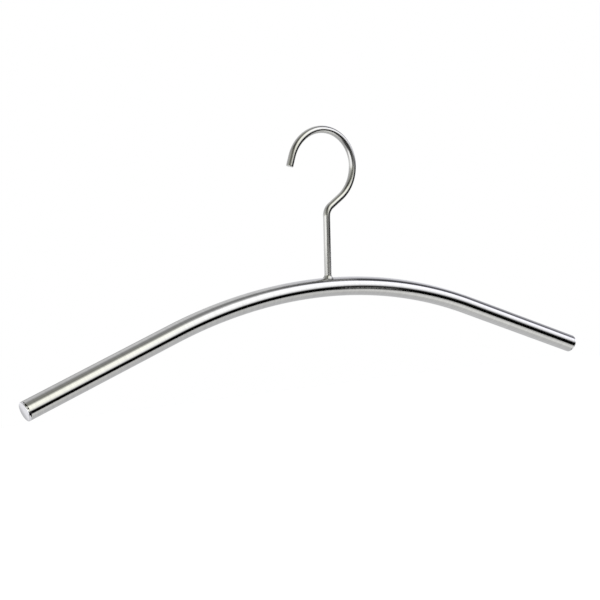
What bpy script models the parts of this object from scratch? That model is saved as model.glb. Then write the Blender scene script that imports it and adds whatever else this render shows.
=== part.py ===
"""Stainless steel coat hanger, in metres, +Z up.

A round tube is bent to a shallow arc with two straight arms, and a cap closes each of its ends.
The wire hook stands in a hole in the tube's crown, and a small weld runs round its foot.
The origin is the rail seat: the point inside the top of the hook, right above the stem.
+X runs along the shoulders, and +Y through the hanger's thickness.
"""

import math

import bmesh
import bpy
from mathutils import Matrix, Vector

# Fits between the pieces
SEAT_GAP = 0.0003
CUT_OVERRUN = 0.002

# Shoulder bar, measured on the tube's centreline
TUBE_DIAMETER = 0.013
TUBE_WALL = 0.001
CROWN_RADIUS = 0.3555
CROWN_HALF_ANGLE = math.radians(20.07)
ARM_LENGTH = 0.1096

# End caps
CAP_HEAD_THICKNESS = 0.0010
CAP_EDGE_RADIUS = 0.0007
SPIGOT_LENGTH = 0.008
SPIGOT_CHAMFER = 0.0006

# Hook, measured on the wire's centreline
WIRE_DIAMETER = 0.005
STEM_HEIGHT = 0.0418
NECK_RADIUS = 0.0085
NECK_ANGLE = math.radians(55.2)
NECK_RUN = 0.0098
LOOP_RADIUS = 0.0254
LOOP_ANGLE = math.radians(217.5)
TIP_RUN = 0.0070
FOOT_REACH = 0.002

# Weld at the foot of the hook
WELD_LEG = 0.0013
WELD_HEIGHT = 0.0018
WELD_EDGE = 0.00015

# Fineness of the meshes
TUBE_SIDES = 48
WIRE_SIDES = 24
WELD_SIDES = 48
CROWN_STEPS = 24
NECK_STEPS = 8
LOOP_STEPS = 42
EDGE_STEPS = 5
SMOOTH_ANGLE = math.radians(30)

TUBE_RADIUS = TUBE_DIAMETER / 2
BORE_RADIUS = TUBE_RADIUS - TUBE_WALL
WIRE_RADIUS = WIRE_DIAMETER / 2
UP = math.pi / 2


def toward(angle):
    """Unit vector in the plane of the hanger, turned up from +X by the angle."""
    return Vector((math.cos(angle), 0, math.sin(angle)))


def material(name, colour, roughness):
    """Bare metal of one colour and roughness."""
    made = bpy.data.materials.new(name)
    made.use_nodes = True
    shader = made.node_tree.nodes["Principled BSDF"]
    shader.inputs["Base Color"].default_value = (*colour, 1)
    shader.inputs["Metallic"].default_value = 1
    shader.inputs["Roughness"].default_value = roughness
    return made


def place(name, bm, parent, finish=None):
    """Turns the bmesh into a smooth shaded object that hangs on its parent."""
    bmesh.ops.recalc_face_normals(bm, faces=bm.faces[:])
    mesh = bpy.data.meshes.new(name)
    bm.to_mesh(mesh)
    bm.free()
    mesh.shade_smooth()
    mesh.set_sharp_from_angle(angle=SMOOTH_ANGLE)
    made = bpy.data.objects.new(name, mesh)
    bpy.context.scene.collection.objects.link(made)
    made.parent = parent
    if finish:
        mesh.materials.append(finish)
    return made


def only(kind, items):
    """The items that are of one kind of mesh element."""
    return [item for item in items if isinstance(item, kind)]


def cut_end(bm, point, heading, radius, sides, bore=0):
    """The first end of a bar or tube: a flat disc or ring, square to its heading."""
    bmesh.ops.create_circle(bm, cap_ends=not bore, segments=sides, radius=radius)
    if bore:
        bmesh.ops.create_circle(bm, segments=sides, radius=bore)
        bmesh.ops.bridge_loops(bm, edges=bm.edges[:])
    turn = heading.to_track_quat("Z", "Y").to_matrix().to_4x4()
    bmesh.ops.transform(bm, matrix=Matrix.Translation(point) @ turn, verts=bm.verts[:])
    return bm.faces[:]


def with_rims(faces):
    """Faces with their edges, so that nothing is left behind inside when they are drawn on."""
    return faces + list({edge for face in faces for edge in face.edges})


def run_straight(bm, end, vector):
    """Draws the end out in a straight line, and gives the new end."""
    drawn = bmesh.ops.extrude_face_region(bm, geom=with_rims(end))["geom"]
    bmesh.ops.translate(bm, verts=only(bmesh.types.BMVert, drawn), vec=vector)
    return only(bmesh.types.BMFace, drawn)


def bend(bm, end, centre, angle, steps):
    """Bends on round a centre in the plane of the hanger, to the right where the angle is positive."""
    bent = bmesh.ops.spin(
        bm, geom=with_rims(end), cent=centre, axis=(0, 1, 0), dvec=(0, 0, 0), angle=angle, steps=steps
    )
    return only(bmesh.types.BMFace, bent["geom_last"])


def turned(outline, sides):
    """A body turned round Z from an outline of (radius, height) points."""
    bm = bmesh.new()
    points = [bm.verts.new((radius, 0, height)) for radius, height in outline]
    edges = [bm.edges.new(pair) for pair in zip(points, points[1:])]
    if outline[0][0]:
        edges.append(bm.edges.new((points[-1], points[0])))
    bmesh.ops.spin(
        bm, geom=points + edges, cent=(0, 0, 0), axis=(0, 0, 1), dvec=(0, 0, 0),
        angle=2 * math.pi, steps=sides, use_merge=True,
    )
    bmesh.ops.remove_doubles(bm, verts=bm.verts[:], dist=WELD_EDGE / EDGE_STEPS)
    return bm


# The hook's line, worked out from the crown's centreline, and the seat inside its top
FOOT = Vector((0, 0, BORE_RADIUS - FOOT_REACH))
NECK_START = Vector((0, 0, TUBE_RADIUS + STEM_HEIGHT))
NECK_CENTRE = NECK_START + NECK_RADIUS * toward(0)
NECK_END = NECK_CENTRE + NECK_RADIUS * toward(math.pi - NECK_ANGLE)
LOOP_START = NECK_END + NECK_RUN * toward(UP - NECK_ANGLE)
LOOP_CENTRE = LOOP_START + LOOP_RADIUS * toward(math.pi - NECK_ANGLE)
SEAT_HEIGHT = LOOP_CENTRE.z + math.sqrt((LOOP_RADIUS - WIRE_RADIUS) ** 2 - LOOP_CENTRE.x**2)


def arm_end(side):
    """Centre of the tube's cut end on the left (side -1) or the right (side 1)."""
    bend_end = CROWN_RADIUS * (toward(UP - CROWN_HALF_ANGLE) - toward(UP))
    point = bend_end + ARM_LENGTH * toward(-CROWN_HALF_ANGLE)
    return Vector((side * point.x, 0, point.z))


def crown_height(x, y):
    """Height of the tube's top surface near the crown, above the crown's centreline."""
    across = CROWN_RADIUS + math.sqrt(TUBE_RADIUS**2 - y**2)
    return math.sqrt(across**2 - x**2) - CROWN_RADIUS


def shoulder_bar(crown, finish):
    """The bent tube, with the hole for the hook's foot drilled through its top wall."""
    bm = bmesh.new()
    uphill = toward(CROWN_HALF_ANGLE)
    downhill = toward(-CROWN_HALF_ANGLE)
    bend_centre = CROWN_RADIUS * toward(-UP)
    end = cut_end(bm, arm_end(-1), uphill, TUBE_RADIUS, TUBE_SIDES, bore=BORE_RADIUS)
    end = run_straight(bm, end, ARM_LENGTH * uphill)
    end = bend(bm, end, bend_centre, 2 * CROWN_HALF_ANGLE, CROWN_STEPS)
    run_straight(bm, end, ARM_LENGTH * downhill)
    bar = place("shoulder_bar", bm, crown, finish)

    drill = bmesh.new()
    hole_radius = WIRE_RADIUS + SEAT_GAP
    bore_hole = cut_end(drill, Vector((0, 0, 0)), toward(UP), hole_radius, WIRE_SIDES)
    run_straight(drill, bore_hole, (TUBE_RADIUS + CUT_OVERRUN) * toward(UP))
    cutter = place("hook_hole_cutter", drill, crown)
    cutter.hide_render = True
    cutter.display_type = "WIRE"

    hole = bar.modifiers.new("hook_hole", "BOOLEAN")
    hole.operation = "DIFFERENCE"
    hole.solver = "EXACT"
    hole.object = cutter


def end_cap(name, side, crown, finish):
    """A cap with a rounded head as wide as the tube, and a spigot that sits in the bore."""
    spigot_radius = BORE_RADIUS - SEAT_GAP
    flat_radius = TUBE_RADIUS - CAP_EDGE_RADIUS
    shoulder_height = CAP_HEAD_THICKNESS - CAP_EDGE_RADIUS
    rounding = [
        (
            flat_radius + CAP_EDGE_RADIUS * math.sin(UP * step / EDGE_STEPS),
            shoulder_height + CAP_EDGE_RADIUS * math.cos(UP * step / EDGE_STEPS),
        )
        for step in range(EDGE_STEPS + 1)
    ]
    outline = [
        (0, CAP_HEAD_THICKNESS),
        *rounding,
        (TUBE_RADIUS, 0),
        (spigot_radius, 0),
        (spigot_radius, SPIGOT_CHAMFER - SPIGOT_LENGTH),
        (spigot_radius - SPIGOT_CHAMFER, -SPIGOT_LENGTH),
        (0, -SPIGOT_LENGTH),
    ]
    cap = place(name, turned(outline, TUBE_SIDES), crown, finish)
    outward = toward(-CROWN_HALF_ANGLE)
    outward.x *= side
    cap.location = arm_end(side) + SEAT_GAP * outward
    cap.rotation_euler = outward.to_track_quat("Z", "Y").to_euler()


def hook(crown, finish):
    """One wire: a straight stem, the neck's bend and its short run, the loop, and its short straight tip."""
    bm = bmesh.new()
    end = cut_end(bm, FOOT, toward(UP), WIRE_RADIUS, WIRE_SIDES)
    end = run_straight(bm, end, NECK_START - FOOT)
    end = bend(bm, end, NECK_CENTRE, NECK_ANGLE, NECK_STEPS)
    end = run_straight(bm, end, LOOP_START - NECK_END)
    end = bend(bm, end, LOOP_CENTRE, -LOOP_ANGLE, LOOP_STEPS)
    run_straight(bm, end, TIP_RUN * toward(UP - NECK_ANGLE + LOOP_ANGLE))
    place("hook", bm, crown, finish)


def hook_weld(crown, finish):
    """A hollow fillet round the hook's foot, turned flat and then laid over the tube."""
    inner = WIRE_RADIUS + SEAT_GAP
    lip = inner + WELD_EDGE
    toe = inner + WELD_LEG
    hollow = [
        (
            toe - (toe - lip) * math.sin(UP * step / EDGE_STEPS),
            SEAT_GAP + WELD_HEIGHT - (WELD_HEIGHT - WELD_EDGE) * math.cos(UP * step / EDGE_STEPS),
        )
        for step in range(EDGE_STEPS + 1)
    ]
    outline = [(inner, SEAT_GAP), (toe, SEAT_GAP), *hollow, (inner, SEAT_GAP + WELD_HEIGHT)]
    bm = turned(outline, WELD_SIDES)
    for vert in bm.verts:
        vert.co.z += crown_height(vert.co.x, vert.co.y)
    place("hook_weld", bm, crown, finish)


for old in list(bpy.data.objects):
    bpy.data.objects.remove(old)

# Every piece hangs on the crown's centreline, which lies below the rail seat
crown_frame = bpy.data.objects.new("crown_frame", None)
bpy.context.scene.collection.objects.link(crown_frame)
crown_frame.location = (0, 0, -SEAT_HEIGHT)

brushed_steel = material("brushed_steel", (0.62, 0.62, 0.61), 0.28)
polished_steel = material("polished_steel", (0.80, 0.80, 0.83), 0.15)
drawn_wire = material("drawn_wire", (0.60, 0.60, 0.58), 0.22)
weld_steel = material("weld_steel", (0.50, 0.50, 0.47), 0.30)

shoulder_bar(crown_frame, brushed_steel)
end_cap("left_end_cap", -1, crown_frame, polished_steel)
end_cap("right_end_cap", 1, crown_frame, polished_steel)
hook(crown_frame, drawn_wire)
hook_weld(crown_frame, weld_steel)
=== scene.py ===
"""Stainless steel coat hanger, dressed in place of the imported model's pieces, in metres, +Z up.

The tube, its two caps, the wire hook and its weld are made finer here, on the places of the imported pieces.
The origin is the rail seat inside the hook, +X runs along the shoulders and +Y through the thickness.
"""

import bisect
import math

import bmesh
import bpy
from mathutils import Matrix, Vector


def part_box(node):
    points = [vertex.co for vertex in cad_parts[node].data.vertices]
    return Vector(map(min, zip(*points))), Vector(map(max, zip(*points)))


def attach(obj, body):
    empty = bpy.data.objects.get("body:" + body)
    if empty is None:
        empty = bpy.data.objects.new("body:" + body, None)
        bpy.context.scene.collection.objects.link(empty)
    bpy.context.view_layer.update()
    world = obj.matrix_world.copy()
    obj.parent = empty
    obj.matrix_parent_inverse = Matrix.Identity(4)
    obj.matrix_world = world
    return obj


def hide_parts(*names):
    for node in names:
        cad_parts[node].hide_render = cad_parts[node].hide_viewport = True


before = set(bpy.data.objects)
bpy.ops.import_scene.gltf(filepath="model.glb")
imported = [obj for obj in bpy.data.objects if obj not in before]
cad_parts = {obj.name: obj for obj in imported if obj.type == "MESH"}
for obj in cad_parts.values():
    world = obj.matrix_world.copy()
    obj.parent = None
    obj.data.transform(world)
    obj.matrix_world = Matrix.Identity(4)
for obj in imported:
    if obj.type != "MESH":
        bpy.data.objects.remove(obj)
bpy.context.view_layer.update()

# Shoulder bar
# One length of stainless tube, 13 mm across with a 1 mm wall. It is brushed while it is straight, so fine
# lines run round it. Then it is bent to a shallow arc, its ends are cut square, and its crown is drilled for
# the hook.
bar_low, bar_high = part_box("shoulder_bar")
hook_low, hook_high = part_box("hook")
wire_radius = (hook_high.y - hook_low.y) / 2
tube_radius = (bar_high.y - bar_low.y) / 2
tube_wall = 0.001
bore_radius = tube_radius - tube_wall
tube_edge_round = 0.00015
crown_radius = 0.3555
crown_half_angle = math.radians(20.07)
crown = Vector((0, 0, bar_high.z - tube_radius))
arm_reach = bar_high.x - (crown_radius + tube_radius) * math.sin(crown_half_angle)
arm_length = arm_reach / math.cos(crown_half_angle)
crown_length = 2 * crown_radius * crown_half_angle
hole_clearance = 0.0003
hole_sides = 48
tube_colour = (0.62, 0.62, 0.61)
brushing_density = 1900.0
brushing_stretch = 0.035
brushing_depth = 0.00002
# Painted shade: the near-black colour laid on the tube's bore and inner ends and on the caps' hidden faces,
# for the dark in the seams.
seam_shade_colour = (0.012, 0.012, 0.011)
seam_depth = 0.00012
handled_reach = ((-0.01, 0.018), (0.075, 0.045))
handled_height_shares = ((-0.34, -0.2), (0.03, -0.1))
cleaned_reach = ((-0.009, -0.004), (0.024, 0.014))
cleaned_height_shares = ((0.58, 0.66), (0.84, 0.77))
left_nicks = ((70, 7, 0.0009), (48, 14, 0.00105), (25, 9, 0.00105), (-13, 20, 0.00105), (150, 12, 0.0005))
right_nicks = ((-45, 10, 0.0006), (10, 6, 0.0001), (120, 14, 0.0004))
nick_tube_share = 0.4
nick_cap_share = 0.5
tube_sides = 120
arm_steps = 36
crown_third_steps = 56
edge_steps = 3
quarter_turn = math.pi / 2
sharp_angle = math.radians(40)


def toward(angle):
    """Unit vector in the plane of the hanger, turned up from +X by the angle."""
    return Vector((math.cos(angle), 0, math.sin(angle)))


def walk(start, heading, runs, distance):
    """Point and heading at a distance along a centreline made of runs, each a length and its turn."""
    point = start
    for length, turn in runs:
        step = min(distance, length)
        if turn:
            radius = length / turn
            centre = point + radius * toward(heading + quarter_turn)
            heading += step / radius
            point = centre - radius * toward(heading + quarter_turn)
        else:
            point = point + step * toward(heading)
        distance -= step
        if distance <= 0:
            break
    return point, heading


def stops_along(marks, steps):
    """Distances of the rings: each stretch between two marks is cut into its number of steps."""
    stops = [marks[0]]
    for begin, end, count in zip(marks, marks[1:], steps):
        stops += [begin + (end - begin) * step / count for step in range(1, count + 1)]
    return stops


def straight_stock(radius, bore, sides, stops, edge_round):
    """Straight bar or tube along +X with a ring at each stop, square cut, its sharp edges broken."""
    held = 4 * edge_round
    stops = [stops[0], stops[0] + held, *stops[1:-1], stops[-1] - held, stops[-1]]
    bm = bmesh.new()
    bmesh.ops.create_circle(bm, cap_ends=not bore, segments=sides, radius=radius)
    if bore:
        bmesh.ops.create_circle(bm, segments=sides, radius=bore)
        bmesh.ops.bridge_loops(bm, edges=bm.edges[:])
    bmesh.ops.rotate(bm, matrix=Matrix.Rotation(quarter_turn, 3, "Y"), verts=bm.verts[:])
    end = bm.faces[:]
    for begin, stop in zip(stops, stops[1:]):
        rims = list({edge for face in end for edge in face.edges})
        drawn = bmesh.ops.extrude_face_region(bm, geom=end + rims)["geom"]
        points = [item for item in drawn if isinstance(item, bmesh.types.BMVert)]
        bmesh.ops.translate(bm, verts=points, vec=((stop - begin), 0, 0))
        end = [item for item in drawn if isinstance(item, bmesh.types.BMFace)]
    bmesh.ops.recalc_face_normals(bm, faces=bm.faces[:])
    sharp = [edge for edge in bm.edges if edge.calc_face_angle(0) > quarter_turn / 2]
    bmesh.ops.bevel(
        bm, geom=sharp, offset=edge_round, offset_type="OFFSET", affect="EDGES",
        segments=edge_steps, profile=0.5, material=-1,
    )
    return bm


def wrap_map(bm, radius, bore, marks):
    """UV map of straight stock: strips with U along it and V round it, then its bore and its two ends."""
    uv = bm.loops.layers.uv.new("OFBake")
    strips = len(marks) - 1
    outside_share = 0.84
    margin_share = 0.004
    bore_low_share = 0.86
    bore_tall_share = 0.06
    end_centre_share = 0.965
    end_radius_share = 0.028
    for face in bm.faces:
        middle = face.calc_center_median()
        middle_round = math.atan2(middle.z, middle.y) / (2 * math.pi)
        on_end = abs(face.normal.x) > math.sin(quarter_turn / 2)
        in_bore = bore and math.hypot(middle.y, middle.z) < (radius + bore) / 2
        strip = min(bisect.bisect(marks, middle.x) - 1, strips - 1)
        for loop in face.loops:
            place = loop.vert.co
            if on_end:
                right = 0.5 if middle.x > marks[-1] / 2 else 0
                scale = end_radius_share / radius
                centre_u = right + end_radius_share + margin_share
                loop[uv].uv = (centre_u + place.y * scale, end_centre_share + place.z * scale)
                continue
            turn = math.atan2(place.z, place.y) / (2 * math.pi)
            turn += round(middle_round - turn) + 0.5
            if in_bore:
                loop[uv].uv = (place.x / marks[-1], bore_low_share + bore_tall_share * turn)
                continue
            along = (place.x - marks[strip]) / (marks[strip + 1] - marks[strip])
            along = margin_share + (1 - 2 * margin_share) * along
            turn = margin_share + (1 - 2 * margin_share) * turn
            loop[uv].uv = (along, outside_share * (strip + turn) / strips)


def bend_stock(bm, start, heading, runs):
    """Bends straight stock along its centreline, and keeps each point's place on the straight stock."""
    stock_place = bm.verts.layers.float_vector.new("stock_place")
    for vert in bm.verts:
        vert[stock_place] = vert.co
        point, angle = walk(start, heading, runs, vert.co.x)
        vert.co = point + vert.co.z * toward(angle + quarter_turn) + Vector((0, vert.co.y, 0))


def finished(name, bm, finish, slot, *nodes):
    """A smooth piece from the bmesh, with its finish. Given a slot, it hangs on the root and hides its
    nodes.
    """
    mesh = bpy.data.meshes.new(name)
    bm.to_mesh(mesh)
    bm.free()
    mesh.shade_smooth()
    mesh.set_sharp_from_angle(angle=sharp_angle)
    mesh.materials.append(finish)
    piece = bpy.data.objects.new(name, mesh)
    bpy.context.scene.collection.objects.link(piece)
    if slot:
        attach(piece, "root")
        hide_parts(*nodes)
    return piece


def node(tree, kind, inputs=None, **settings):
    """Adds a shader node with its settings, and fills or links its inputs."""
    made = tree.nodes.new(kind)
    for name, value in settings.items():
        setattr(made, name, value)
    for name, value in (inputs or {}).items():
        if isinstance(value, bpy.types.NodeSocket):
            tree.links.new(value, made.inputs[name])
        else:
            made.inputs[name].default_value = value
    return made


def maths(tree, operation, first, second=0.0, third=0.0):
    """Output of one Math node."""
    return node(tree, "ShaderNodeMath", {0: first, 1: second, 2: third}, operation=operation).outputs[0]


def spread(tree, value, low, high, to_low=0.0, to_high=1.0, curve="LINEAR"):
    """Output of a Map Range node that takes low to to_low and high to to_high."""
    inputs = {"Value": value, "From Min": low, "From Max": high, "To Min": to_low, "To Max": to_high}
    return node(tree, "ShaderNodeMapRange", inputs, interpolation_type=curve).outputs["Result"]


def fine_lines_group():
    """Lines that abrasive or a die leaves in metal: fine ones, with broader ones among them."""
    group = bpy.data.node_groups.new("fine lines", "ShaderNodeTree")
    group.interface.new_socket("Place", in_out="INPUT", socket_type="NodeSocketVector")
    group.interface.new_socket("Density", in_out="INPUT", socket_type="NodeSocketFloat")
    group.interface.new_socket("Lines", in_out="OUTPUT", socket_type="NodeSocketFloat")
    group.interface.new_socket("Broad", in_out="OUTPUT", socket_type="NodeSocketFloat")
    given = node(group, "NodeGroupInput").outputs
    place, density = given["Place"], given["Density"]
    fine = node(
        group, "ShaderNodeTexNoise",
        {"Vector": place, "Scale": density, "Detail": 3.0, "Roughness": 0.65},
    )
    broad_share = 0.22
    broad_density = maths(group, "MULTIPLY", density, broad_share)
    broad = node(
        group, "ShaderNodeTexNoise",
        {"Vector": place, "Scale": broad_density, "Detail": 2.0, "Roughness": 0.5},
    )
    node(group, "NodeGroupOutput", {"Lines": fine.outputs["Fac"], "Broad": broad.outputs["Fac"]})
    return group


def metal(name):
    """A new material with its Principled shader, for bare metal."""
    made = bpy.data.materials.new(name)
    made.use_nodes = True
    shader = made.node_tree.nodes["Principled BSDF"]
    shader.inputs["Metallic"].default_value = 1.0
    return made, made.node_tree, shader


fine_lines = fine_lines_group()


def lines_on(tree, attribute, stretch, density):
    """Lays the fine lines on a piece's own place, long where the stretch is small, and gives both."""
    place = node(tree, "ShaderNodeAttribute", attribute_name=attribute).outputs["Vector"]
    stretched = node(tree, "ShaderNodeMapping", {"Vector": place, "Scale": stretch}).outputs["Vector"]
    lines = node(tree, "ShaderNodeGroup", node_tree=fine_lines)
    tree.links.new(stretched, lines.inputs["Place"])
    lines.inputs["Density"].default_value = density
    return place, lines.outputs


def vary(tree, noise, low, high):
    """Takes a noise, which lies mostly between 0.3 and 0.7, from low to high."""
    return spread(tree, noise, 0.3, 0.7, low, high)


def shaded(tree, colour, shade):
    """A colour made darker or lighter by its shade."""
    made = node(tree, "ShaderNodeVectorMath", {0: colour, "Scale": shade}, operation="SCALE")
    return made.outputs["Vector"]


def painted_seam_shade(tree, colour, inside):
    """The metal's colour, or painted shade, near black, where it lies inside the seam."""
    mixed = node(
        tree, "ShaderNodeMix",
        {"Factor": inside, "A": colour, "B": (*seam_shade_colour, 1.0)}, data_type="RGBA",
    )
    return mixed.outputs["Result"]


def grain_along_map(tree, shader, amount):
    """Blurs what the metal mirrors along the piece more than round it, by its UV map."""
    shader.inputs["Anisotropic"].default_value = amount
    tangent = node(tree, "ShaderNodeTangent", direction_type="UV_MAP", uv_map="OFBake")
    tree.links.new(tangent.outputs["Tangent"], shader.inputs["Tangent"])


def relief(tree, shader, height, strength, depth):
    """Gives the metal a fine relief."""
    bump = node(tree, "ShaderNodeBump", {"Strength": strength, "Distance": depth, "Height": height})
    tree.links.new(bump.outputs["Normal"], shader.inputs["Normal"])


def from_axis(tree, first, second):
    """Distance from the axis of a round piece, from the two coordinates across it."""
    across = node(tree, "ShaderNodeCombineXYZ", {"X": first, "Y": second}).outputs["Vector"]
    return node(tree, "ShaderNodeVectorMath", {0: across}, operation="LENGTH").outputs["Value"]


def worn_mask(tree, axes, reach, height_shares):
    """A patch on the tube's front. Each of its four edges runs from an outer line to an inner one.

    The reach gives the left and the right edge, from the tube's middle. The height shares give the lower and
    the upper edge, as shares of the tube's radius.
    """
    from_middle = maths(tree, "SUBTRACT", axes["X"], arm_length + crown_length / 2)
    height = maths(tree, "DIVIDE", axes["Z"], tube_radius)
    mask = maths(tree, "LESS_THAN", axes["Y"], 0.0)
    edges = (*reach, *height_shares)
    for value, (outer, inner) in zip((from_middle, from_middle, height, height), edges):
        mask = maths(tree, "MULTIPLY", mask, spread(tree, value, outer, inner, curve="SMOOTHSTEP"))
    return mask


def brushed_tube_finish():
    """Brushing that runs round the tube: crisp round it, blurred along it, with lines across its length.

    It is duller low on the front, right of the middle, where it has been handled, and beside the weld.
    """
    finish, tree, shader = metal("brushed_tube")
    stretch = (1.0, brushing_stretch, brushing_stretch)
    place, lines = lines_on(tree, "stock_place", stretch, brushing_density)
    shade = maths(
        tree, "MULTIPLY", vary(tree, lines["Lines"], 0.93, 1.05), vary(tree, lines["Broad"], 0.95, 1.04),
    )
    axes = node(tree, "ShaderNodeSeparateXYZ", {"Vector": place}).outputs
    # Painted shade: the bore and the inner part of each end face turn near black, for the dark in the seams.
    inside = maths(tree, "LESS_THAN", from_axis(tree, axes["Y"], axes["Z"]), tube_radius - seam_depth)
    seen = painted_seam_shade(tree, shaded(tree, tube_colour, shade), inside)
    tree.links.new(seen, shader.inputs["Base Color"])
    polish = vary(tree, lines["Lines"], 0.14, 0.09)
    smear = spread(tree, lines["Broad"], 0.35, 0.65, 0.38, 0.48)
    handled = worn_mask(tree, axes, handled_reach, handled_height_shares)
    cleaned = worn_mask(tree, axes, cleaned_reach, cleaned_height_shares)
    worn = maths(tree, "MAXIMUM", handled, cleaned)
    dulled = node(tree, "ShaderNodeMix", {"Factor": worn, "A": polish, "B": smear}, data_type="FLOAT")
    tree.links.new(dulled.outputs[0], shader.inputs["Roughness"])
    grain_along_map(tree, shader, 0.9)
    relief(tree, shader, lines["Lines"], 0.25, brushing_depth)
    return finish


def nick_depth(turn, nicks):
    """How far an end's seam is open at a turn round the tube, in degrees from its front to its top.

    Each nick has its own turn and how far it reaches to both sides, in degrees, and its greatest opening.
    """
    depth = 0
    for place, reach, opening in nicks:
        gap = min(1, abs((turn - place + 180) % 360 - 180) / reach)
        depth += opening * (1 + math.cos(math.pi * gap)) / 2
    return depth


def nick_ends(bm, length):
    """Small hollows in the two ends of the tube, where the seams of its caps stand open."""
    rim = 1.1 * tube_edge_round
    for vert in bm.verts:
        turn = math.degrees(math.atan2(vert.co.z, -vert.co.y))
        if vert.co.x < rim:
            vert.co.x += nick_tube_share * nick_depth(turn, left_nicks)
        elif vert.co.x > length - rim:
            vert.co.x -= nick_tube_share * nick_depth(turn, right_nicks)


def drill(piece, radius, place, depth):
    """Drills a hole straight down into a piece, as deep below and as far above the place as the depth."""
    bm = bmesh.new()
    bmesh.ops.create_cone(
        bm, cap_ends=True, segments=hole_sides, radius1=radius, radius2=radius, depth=2 * depth,
    )
    bmesh.ops.translate(bm, verts=bm.verts[:], vec=place)
    bmesh.ops.recalc_face_normals(bm, faces=bm.faces[:])
    mesh = bpy.data.meshes.new("drill_bit")
    bm.to_mesh(mesh)
    bm.free()
    bit = bpy.data.objects.new("drill_bit", mesh)
    bpy.context.scene.collection.objects.link(bit)
    cut = piece.modifiers.new("hole", "BOOLEAN")
    cut.operation = "DIFFERENCE"
    cut.solver = "EXACT"
    cut.object = bit
    bpy.context.view_layer.update()
    drilled = bpy.data.meshes.new_from_object(piece.evaluated_get(bpy.context.evaluated_depsgraph_get()))
    piece.modifiers.remove(cut)
    piece.data = drilled
    drilled.set_sharp_from_angle(angle=sharp_angle)
    bpy.data.objects.remove(bit)


bar_start_mirror = crown_radius * (toward(quarter_turn - crown_half_angle) - toward(quarter_turn))
bar_start_mirror += arm_length * toward(-crown_half_angle)
bar_start = crown + Vector((-bar_start_mirror.x, 0, bar_start_mirror.z))
bar_runs = ((arm_length, 0), (crown_length, -2 * crown_half_angle), (arm_length, 0))
bar_marks = [
    0,
    arm_length,
    arm_length + crown_length / 3,
    arm_length + 2 * crown_length / 3,
    arm_length + crown_length,
    2 * arm_length + crown_length,
]
bar_stops = stops_along(bar_marks, (arm_steps, *[crown_third_steps] * 3, arm_steps))
bar_mesh = straight_stock(tube_radius, bore_radius, tube_sides, bar_stops, tube_edge_round)
wrap_map(bar_mesh, tube_radius, bore_radius, bar_marks)
nick_ends(bar_mesh, bar_marks[-1])
bend_stock(bar_mesh, bar_start, crown_half_angle, bar_runs)
bent_tube = finished("bent_tube", bar_mesh, brushed_tube_finish(), "brushed_tube", "shoulder_bar")
drill(bent_tube, wire_radius + hole_clearance, Vector((0, 0, bar_high.z)), 3 * tube_wall)

# End caps
# A small turned plug of stainless steel closes each end of the tube. Its spigot is pressed into the bore.
# Its head, as wide as the tube, has a ground face and a rounded edge, with a hairline seam behind it.
seam = 0.00006
head_reach = 0.0013
cap_edge_round = 0.0007
spigot_clearance = 0.00005
spigot_radius = bore_radius - spigot_clearance
spigot_length = 0.0083
cap_colour = (0.88, 0.88, 0.9)
grinding_density = 4000.0
grinding_stretch = 0.06
grinding_depth = 0.00001
# Painted shade on the cap's face: its colour falls to the shade share along a slant towards its lower back
# edge.
rim_slant = 0.6
painted_shade_start = -0.0022
painted_shade_end = 0.005
rim_shade_share = 0.57
seam_side_share = 0.75
cap_sides = 192
cap_edge_steps = 8
face_shares = (0, 0.5, 0.9, 0.98)
merge_distance = 0.000004


def turned(outline, sides):
    """A body turned round +Z from an outline of points that starts and ends on the axis."""
    bm = bmesh.new()
    points = [bm.verts.new((radius, 0, height)) for radius, height in outline]
    edges = [bm.edges.new(pair) for pair in zip(points, points[1:])]
    bmesh.ops.spin(
        bm, geom=points + edges, cent=(0, 0, 0), axis=(0, 0, 1), dvec=(0, 0, 0),
        angle=2 * math.pi, steps=sides, use_merge=True,
    )
    bmesh.ops.remove_doubles(bm, verts=bm.verts[:], dist=merge_distance)
    bmesh.ops.recalc_face_normals(bm, faces=bm.faces[:])
    return bm


def ground_cap_finish():
    """Finely ground face and edge, brighter and a touch bluer than the tube.

    Painted shade darkens it towards its lower back edge and turns the seam behind its head near black.
    """
    finish, tree, shader = metal("ground_cap")
    place, lines = lines_on(tree, "cap_place", (grinding_stretch, 1.0, 1.0), grinding_density)
    axes = node(tree, "ShaderNodeSeparateXYZ", {"Vector": place}).outputs
    # Painted shade: the face's colour falls towards its lower back edge, for the duller reflection there.
    to_rim = maths(tree, "SUBTRACT", axes["X"], maths(tree, "MULTIPLY", axes["Y"], rim_slant))
    painted_rim_shade = spread(tree, to_rim, painted_shade_start, painted_shade_end, 1.0, rim_shade_share, curve="SMOOTHSTEP")
    shade = maths(tree, "MULTIPLY", vary(tree, lines["Lines"], 0.96, 1.03), painted_rim_shade)
    # Painted shade: the head's underside and the spigot are near black, for the dark in the seam.
    inside = maths(tree, "LESS_THAN", from_axis(tree, axes["X"], axes["Y"]), tube_radius - seam_depth)
    below_face = maths(tree, "LESS_THAN", axes["Z"], seam_side_share * head_reach)
    behind = maths(tree, "MULTIPLY", inside, below_face)
    seen = painted_seam_shade(tree, shaded(tree, cap_colour, shade), behind)
    tree.links.new(seen, shader.inputs["Base Color"])
    tree.links.new(vary(tree, lines["Broad"], 0.14, 0.08), shader.inputs["Roughness"])
    relief(tree, shader, lines["Lines"], 0.15, grinding_depth)
    return finish


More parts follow.
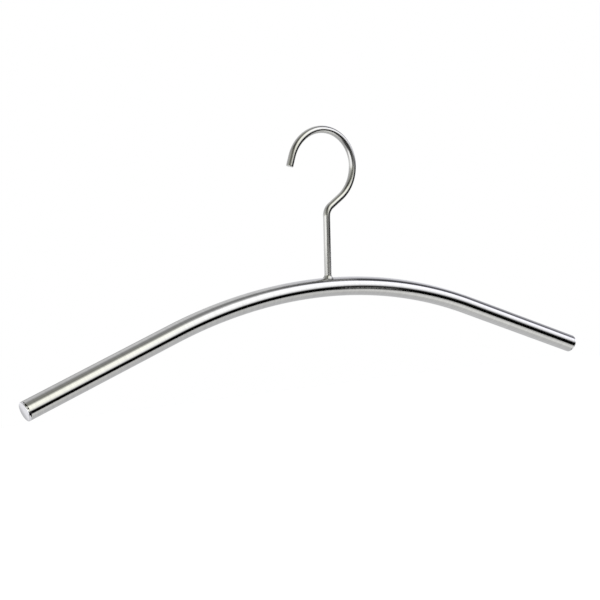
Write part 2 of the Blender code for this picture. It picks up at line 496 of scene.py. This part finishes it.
def end_cap(name, end_point, outward, nicks, finish, cad_node):
    """One cap, turned and set on the tube's end. The nicks in its head's back edge leave the seam open."""
    flat_radius = tube_radius - cap_edge_round
    head_rise = head_reach - cap_edge_round
    rounding = [
        (
            flat_radius + cap_edge_round * math.sin(quarter_turn * step / cap_edge_steps),
            head_rise + cap_edge_round * math.cos(quarter_turn * step / cap_edge_steps),
        )
        for step in range(cap_edge_steps + 1)
    ]
    faced = [(flat_radius * share, head_reach) for share in face_shares]
    broken_edge = tube_edge_round / 3
    outline = [
        *faced,
        *rounding,
        (tube_radius, seam + broken_edge),
        (tube_radius - broken_edge, seam),
        (spigot_radius, seam),
        (spigot_radius, cap_edge_round - spigot_length),
        (spigot_radius - cap_edge_round, -spigot_length),
        (0, -spigot_length),
    ]
    bm = turned(outline, cap_sides)
    cap_place = bm.verts.layers.float_vector.new("cap_place")
    stand = outward.to_track_quat("Z", "Y").to_matrix()
    up = Vector((abs(outward.z), 0, abs(outward.x)))
    up.x = math.copysign(up.x, outward.x)
    for vert in bm.verts:
        height = vert.co.z
        spoke = stand @ Vector((vert.co.x, vert.co.y, 0))
        vert[cap_place] = (spoke.y, spoke.dot(up), height)
        if seam - broken_edge < height < seam + 2 * broken_edge:
            turn = math.degrees(math.atan2(spoke.dot(up), -spoke.y))
            height += nick_cap_share * nick_depth(turn, nicks)
        vert.co = end_point + spoke + height * outward
    return finished(name, bm, finish, "ground_cap", cad_node)


cap_finish = ground_cap_finish()
bar_end, bar_end_heading = walk(bar_start, crown_half_angle, bar_runs, bar_marks[-1])
end_cap("left_cap", bar_start, -toward(crown_half_angle), left_nicks, cap_finish, "left_end_cap")
end_cap("right_cap", bar_end, toward(bar_end_heading), right_nicks, cap_finish, "right_end_cap")

# Hook
# One piece of 5 mm stainless wire, cut off square. Its straight stem stands on the crown with its foot
# through the tube's wall, leans over at the neck, and turns into a round loop with a short straight tip.
# Drawing left faint lines along it.
wire_edge_round = 0.0002
wire_colour = (0.61, 0.61, 0.59)
drawing_density = 2200.0
drawing_stretch = 0.03
drawing_depth = 0.00001
cleaned_height = 0.033
stem_height = 0.0418
neck_radius = 0.0085
neck_angle = math.radians(55.2)
neck_run = 0.0098
loop_radius = 0.0254
loop_angle = math.radians(217.5)
tip_run = 0.0070
wire_sides = 48
stem_steps = 16
neck_steps = 20
neck_run_steps = 4
half_loop_steps = 60
tip_steps = 4


def drawn_wire_finish():
    """Drawn wire: bright, with faint lines along it, and duller where the stem's foot was cleaned."""
    finish, tree, shader = metal("drawn_wire")
    place, lines = lines_on(tree, "stock_place", (drawing_stretch, 1.0, 1.0), drawing_density)
    shade = maths(
        tree, "MULTIPLY", vary(tree, lines["Lines"], 0.95, 1.04), vary(tree, lines["Broad"], 0.96, 1.03),
    )
    tree.links.new(shaded(tree, wire_colour, shade), shader.inputs["Base Color"])
    up_stem = node(tree, "ShaderNodeSeparateXYZ", {"Vector": place}).outputs["X"]
    polish = vary(tree, lines["Lines"], 0.22, 0.16)
    brushed = spread(tree, up_stem, cleaned_height, cleaned_height / 3, 0.0, 0.14, curve="SMOOTHSTEP")
    tree.links.new(maths(tree, "ADD", polish, brushed), shader.inputs["Roughness"])
    grain_along_map(tree, shader, 0.5)
    relief(tree, shader, lines["Lines"], 0.08, drawing_depth)
    return finish


foot = Vector((0, 0, hook_low.z))
stem_length = bar_high.z + stem_height - foot.z
wire_runs = (
    (stem_length, 0),
    (neck_radius * neck_angle, -neck_angle),
    (neck_run, 0),
    (loop_radius * loop_angle, loop_angle),
    (tip_run, 0),
)
neck_end = stem_length + neck_radius * neck_angle
loop_start = neck_end + neck_run
loop_middle = loop_start + loop_radius * loop_angle / 2
loop_end = loop_start + loop_radius * loop_angle
wire_marks = [0, stem_length, neck_end, loop_start, loop_middle, loop_end, loop_end + tip_run]
wire_steps = (stem_steps, neck_steps, neck_run_steps, half_loop_steps, half_loop_steps, tip_steps)
wire_stops = stops_along(wire_marks, wire_steps)
wire_mesh = straight_stock(wire_radius, 0, wire_sides, wire_stops, wire_edge_round)
wrap_map(wire_mesh, wire_radius, 0, wire_marks)
bend_stock(wire_mesh, foot, quarter_turn, wire_runs)
finished("wire_hook", wire_mesh, drawn_wire_finish(), "drawn_wire", "hook")

# Weld
# A small fillet of weld metal, laid round the foot of the hook and wire brushed. It joins the stem to the
# tube's top, and its surface keeps the faint ripples of the pass.
weld_height = 0.0021
weld_reach = 0.0016
weld_gap = 0.00002
weld_colour = (0.56, 0.56, 0.53)
pit_density = 2500.0
pit_depth = 0.00004
weld_sides = 120
weld_steps = 10
ripple_count = 17
lump_count = 3
ripple_height = 0.00005
toe_share = 0.98


def crown_height(x, y):
    """Height of the tube's top surface at a place near the crown."""
    across = crown_radius + math.sqrt(tube_radius**2 - y**2)
    return crown.z - crown_radius + math.sqrt(across**2 - x**2)


def weld_finish():
    """Cleaned weld metal, duller and a little darker than the tube, with a finely pitted skin."""
    finish, tree, shader = metal("weld_bead")
    place = node(tree, "ShaderNodeTexCoord").outputs["Object"]
    pits = node(tree, "ShaderNodeTexNoise", {"Vector": place, "Scale": pit_density, "Detail": 3.0})
    grain = pits.outputs["Fac"]
    tree.links.new(shaded(tree, weld_colour, vary(tree, grain, 0.85, 1.1)), shader.inputs["Base Color"])
    tree.links.new(vary(tree, grain, 0.3, 0.18), shader.inputs["Roughness"])
    relief(tree, shader, grain, 0.4, pit_depth)
    return finish


def weld_ring():
    """The fillet, turned flat as a closed ring, rippled, and then laid over the tube."""
    inner = wire_radius + weld_gap
    hollow = [
        (
            inner + weld_reach * (1 - math.sin(quarter_turn * step / weld_steps)),
            weld_gap + weld_height * (1 - math.cos(quarter_turn * step / weld_steps)),
        )
        for step in range(weld_steps + 1)
    ]
    bm = bmesh.new()
    points = [bm.verts.new((radius, 0, height)) for radius, height in [(inner, weld_gap), *hollow]]
    edges = [bm.edges.new(pair) for pair in zip(points, points[1:] + points[:1])]
    bmesh.ops.spin(
        bm, geom=points + edges, cent=(0, 0, 0), axis=(0, 0, 1), dvec=(0, 0, 0),
        angle=2 * math.pi, steps=weld_sides, use_merge=True,
    )
    bmesh.ops.recalc_face_normals(bm, faces=bm.faces[:])
    for vert in bm.verts:
        turn = math.atan2(vert.co.y, vert.co.x)
        radial = Vector((math.cos(turn), math.sin(turn), 0))
        out = (vert.co.xy.length - inner) / weld_reach
        ripples = ripple_height * math.sin(ripple_count * turn)
        lumps = ripple_height * math.sin(lump_count * turn + 1)
        swell = ripples + lumps
        vert.co += radial * swell * math.sin(math.pi * min(out, 1)) * 2
        if out > toe_share:
            vert.co += radial * swell
        vert.co.z += crown_height(vert.co.x, vert.co.y)
    return bm


finished("foot_weld", weld_ring(), weld_finish(), "weld_bead", "hook_weld")

# Floor
# A plain pale floor, far enough below for the hanger to hang free over it. It keeps the hanger's shadow, and
# the camera sees it as white.
floor_height = -1.7
floor_half_width = 8.0
floor_colour = (0.8, 0.8, 0.8, 1)
floor_glow = 0.6


def pale_floor_finish():
    """Pale diffuse floor with the glow that lifts it to white for the camera, and for glass and gloss."""
    finish = bpy.data.materials.new("pale_floor")
    finish.use_nodes = True
    tree = finish.node_tree
    shader = tree.nodes["Principled BSDF"]
    shader.inputs["Base Color"].default_value = floor_colour
    shader.inputs["Roughness"].default_value = 0.9
    shader.inputs["Specular IOR Level"].default_value = 0.0
    rays = node(tree, "ShaderNodeLightPath").outputs
    seen = maths(tree, "ADD", rays["Is Camera Ray"], rays["Is Glossy Ray"])
    seen = maths(tree, "ADD", seen, rays["Is Transmission Ray"])
    shader.inputs["Emission Color"].default_value = (1, 1, 1, 1)
    tree.links.new(maths(tree, "MULTIPLY", seen, floor_glow), shader.inputs["Emission Strength"])
    return finish


floor_mesh = bmesh.new()
bmesh.ops.create_grid(floor_mesh, x_segments=1, y_segments=1, size=floor_half_width)
bmesh.ops.translate(floor_mesh, verts=floor_mesh.verts[:], vec=(0, 0, floor_height))
floor = finished("floor", floor_mesh, pale_floor_finish(), None)
floor.visible_glossy = False

# Studio
# Soft light from all round, as the metal mirrors it: a big softbox high on the right of the front, a pale
# wall behind, a pale table below, and the dark of the room between them. Each is laid over those before it.
# The camera sees white behind the hanger.
studio = bpy.data.worlds.new("studio")
bpy.context.scene.world = studio
studio.use_nodes = True
sky = studio.node_tree
sky.nodes.clear()
look = node(sky, "ShaderNodeTexCoord").outputs["Generated"]
look_axes = node(sky, "ShaderNodeSeparateXYZ", {"Vector": look}).outputs
look_x, look_y, look_z = look_axes["X"], look_axes["Y"], look_axes["Z"]


def smooth(value, start, end):
    """0 before the start, 1 past the end, with a soft passage between them."""
    return spread(sky, value, start, end, curve="SMOOTHSTEP")


def ramp(value, low, high, to_low, to_high):
    """An even passage from to_low, where the value is low, to to_high, where it is high."""
    return spread(sky, value, low, high, to_low, to_high)


def times(first, *others):
    """Product of two or more levels or masks."""
    for other in others:
        first = maths(sky, "MULTIPLY", first, other)
    return first


def along(direction):
    """How far the look direction goes along another direction."""
    made = node(sky, "ShaderNodeVectorMath", {0: look, 1: direction}, operation="DOT_PRODUCT")
    return made.outputs["Value"]


def facing(azimuth):
    """Where the look direction meets a wall across an azimuth: across, up, and if it is ahead."""
    turn = math.radians(azimuth)
    ahead = along((math.sin(turn), -math.cos(turn), 0))
    near = maths(sky, "MAXIMUM", ahead, 0.0001)
    across = maths(sky, "DIVIDE", along((math.cos(turn), math.sin(turn), 0)), near)
    up = maths(sky, "DIVIDE", look_z, near)
    return across, up, maths(sky, "GREATER_THAN", ahead, 0.0)


def lay(level, over, *masks):
    """Lays another light level over the level so far, where all its masks are 1."""
    mask = times(*masks)
    return node(sky, "ShaderNodeMix", {"Factor": mask, "A": level, "B": over}, data_type="FLOAT").outputs[0]


def blend(mask, first, second):
    """Mixes two colours of light: the first where the mask is 0, the second where it is 1."""
    mixed = node(sky, "ShaderNodeMix", {"Factor": mask, "A": first, "B": second}, data_type="RGBA")
    return mixed.outputs["Result"]


# The dark room, with a paler ceiling overhead
ceiling_level = 0.33
level = ramp(look_z, 0.42, 0.68, 0.2, 0.08)
level = lay(level, ceiling_level, smooth(look_z, 0.82, 0.99))

# The pale wall behind. Two strips of it, which the tube's straight arms mirror, are darker, the left one
# only low down.
wall_dip_share = 0.9
beside_strip_share = 1.16
right_strip_share = 0.62
far_left_level = 0.66
wall_level = times(ramp(look_z, 0.0, 0.5, 0.9, 0.87), ramp(look_x, -0.3, 0.7, 0.87, 1.0))
wall_dip = times(smooth(look_z, 0.0, 0.2), smooth(look_x, 0.5, 0.2))
wall_level = lay(wall_level, times(wall_level, wall_dip_share), wall_dip)
left_strip = times(smooth(along((1, 0, 0.25)), 0.48, 0.41), smooth(look_x, 0.0, 0.16))
left_strip = times(left_strip, smooth(look_z, -0.05, 0.1))
wall_level = lay(wall_level, times(wall_level, ramp(look_z, 0.35, 0.75, 0.7, 1.24)), left_strip)
wall_turn = along((-0.611, 0.526, 0.595))
wall_right = smooth(look_x, 0.5, 0.65)
beside_strip = smooth(wall_turn, 0.09, 0.03)
wall_level = lay(wall_level, times(wall_level, beside_strip_share), beside_strip, wall_right)
right_strip = times(smooth(wall_turn, 0.0, -0.035), smooth(wall_turn, -0.22, -0.14))
wall_level = lay(wall_level, times(wall_level, right_strip_share), right_strip, wall_right)
wall_level = lay(wall_level, far_left_level, smooth(look_z, 0.3, 0.5), smooth(look_x, -0.05, -0.25))
level = lay(level, wall_level, smooth(look_y, 0.06, 0.5))

# A soft glow high on that wall
high_glow_level = 0.82
high_glow = along((0.396, 0.472, 0.788))
level = lay(level, high_glow_level, smooth(high_glow, 0.93, 0.995))

# The side wall on the left, darker towards its top
side_azimuth = -110
side_across, side_up, side_ahead = facing(side_azimuth)
side_across = maths(sky, "ABSOLUTE", side_across)
side_level = ramp(look_z, 0.0, 0.6, 0.75, 0.46)
level = lay(level, side_level, side_ahead, smooth(side_across, 1.0, 0.7), smooth(side_up, 1.1, 0.8))

# The pale table below, with its glows, its dip on the right and a dark shade at the near left
table_front_level = 0.74
near_glow_level = 1.05
far_glow_level = 0.79
low_dip_level = 0.69
table_shade_level = 0.12
near_glow = along((0.378, -0.55, -0.745))
far_glow = along((0.407, 0.235, -0.883))
low_dip = along((0.646, 0.114, -0.755))
table_shade = along((-0.371, -0.474, -0.799))
table_level = times(ramp(look_z, -0.6, -0.15, 0.66, 1.15), ramp(look_x, -0.6, -0.05, 0.84, 1.0))
table_level = lay(table_front_level, table_level, smooth(look_y, -0.1, 0.3))
table_level = lay(table_level, near_glow_level, smooth(near_glow, 0.956, 1.0))
table_level = lay(table_level, far_glow_level, smooth(far_glow, 0.9, 1.0))
table_level = lay(table_level, low_dip_level, smooth(low_dip, 0.9, 0.98))
table_level = lay(table_level, table_shade_level, smooth(table_shade, 0.956, 0.994))
level = lay(level, table_level, smooth(look_z, 0.02, -0.02))

# The dark room again, seen past the table's near edge and its right edge
near_edge = smooth(along((-0.72, -1.126, 1.0)), -0.02, 0.02)
right_edge = smooth(along((0.58, -0.15, 1.0)), -0.03, 0.03)
room_level = times(smooth(look_x, 0.25, -0.2), smooth(look_z, -0.22, -0.05), 0.25)
room_level = maths(sky, "ADD", room_level, ramp(look_x, 0.3, 0.15, 0.0, 0.055))
room_ends = times(smooth(look_x, -0.75, -0.55), smooth(look_y, 0.25, 0.0))
room_top = smooth(look_z, 0.12, 0.0)
level = lay(level, room_level, maths(sky, "MAXIMUM", near_edge, right_edge), room_ends, room_top)

# The window on the left
window_azimuth = -76
window_level = 1.5
window_across, window_up, window_ahead = facing(window_azimuth)
window_across = maths(sky, "ABSOLUTE", window_across)
window_ends = times(smooth(window_up, -1.1, -0.75), smooth(window_up, 0.16, 0.03))
level = lay(level, window_level, window_ahead, smooth(window_across, 0.72, 0.52), window_ends)

# The small lamp on the right
lamp_azimuth = 75
lamp_level = 0.95
lamp_across, lamp_up, lamp_ahead = facing(lamp_azimuth)
lamp_across = maths(sky, "ABSOLUTE", lamp_across)
lamp_ends = times(smooth(lamp_up, 0.03, 0.12), smooth(lamp_up, 0.5, 0.3))
level = lay(level, lamp_level, lamp_ahead, smooth(lamp_across, 0.5, 0.3), lamp_ends)

# The softbox, with a slanted left side, a sloping foot, a cut corner at the top right and a halo above it
box_azimuth = 35
halo_level = 0.8
box_across, box_up, box_ahead = facing(box_azimuth)
box_corner = maths(sky, "ADD", times(box_across, 0.75), times(box_up, 0.66))
box_foot = maths(sky, "SUBTRACT", box_up, times(box_across, 0.2))
box_slant = maths(sky, "ADD", box_across, times(box_up, 0.6))
box_left = smooth(box_slant, -0.85, -0.5)
box_sides = times(box_left, smooth(box_across, 1.25, 1.0))
box_ends = times(smooth(box_up, 1.7, 1.25), smooth(box_foot, -0.05, 0.24))
box_cut = smooth(box_corner, 1.31, 1.09)
box_level = times(ramp(box_up, 0.1, 0.5, 1.1, 1.7), ramp(box_across, -0.9, -0.2, 0.8, 1.0))
box_halo = times(smooth(box_up, 3.2, 1.6), smooth(box_across, 0.75, 0.25))
level = lay(level, halo_level, box_ahead, box_left, box_halo, smooth(box_up, 0.5, 1.0))
level = lay(level, box_level, box_ahead, box_sides, box_ends, box_cut)

# The tint of the light: warm at the softbox's left, cool on the right, and the table's own below
warm_light = (1.0, 1.0, 0.905, 1.0)
plain_light = (1.0, 1.0, 1.012, 1.0)
cool_light = (1.0, 0.995, 1.12, 1.0)
table_light = (1.0, 1.0, 1.02, 1.0)
near_table_light = (1.0, 1.0, 0.985, 1.0)
tint = blend(smooth(box_across, -0.22, -0.42), plain_light, warm_light)
tint = blend(smooth(look_y, 0.05, 0.3), tint, plain_light)
cool_share = times(smooth(look_x, 0.35, 0.65), ramp(look_y, -0.6, -0.1, 0.2, 1.0))
cool_share = times(cool_share, ramp(look_y, 0.1, 0.4, 1.0, 0.5))
tint = blend(cool_share, tint, cool_light)
table_tint = blend(smooth(near_glow, 0.84, 0.98), table_light, near_table_light)
tint = blend(smooth(look_z, 0.05, -0.05), tint, table_tint)

lit = shaded(sky, tint, level)
camera_ray = node(sky, "ShaderNodeLightPath").outputs["Is Camera Ray"]
seen = blend(camera_ray, lit, (1.0, 1.0, 1.0, 1.0))
background = node(sky, "ShaderNodeBackground", {"Color": seen, "Strength": 1.0})
node(sky, "ShaderNodeOutputWorld", {"Surface": background.outputs["Background"]})

# Camera
# It stands to the front left of the hanger and a little above it, and looks a little down.
camera_place = Vector((-0.58736, -0.83592, -0.01258))
camera_turn = math.radians(-34)
camera_tilt = math.radians(84.393)
camera_roll = math.radians(-1.449)
camera_lens = 90.126
camera_data = bpy.data.cameras.new("camera")
camera_data.lens = camera_lens
camera = bpy.data.objects.new("camera", camera_data)
camera.matrix_world = (
    Matrix.Translation(camera_place)
    @ Matrix.Rotation(camera_turn, 4, "Z")
    @ Matrix.Rotation(camera_tilt, 4, "X")
    @ Matrix.Rotation(camera_roll, 4, "Z")
)
bpy.context.scene.collection.objects.link(camera)
bpy.context.scene.camera = camera
bpy.context.scene.view_settings.view_transform = "Standard"

# The scene brought up to date
bpy.context.view_layer.update()
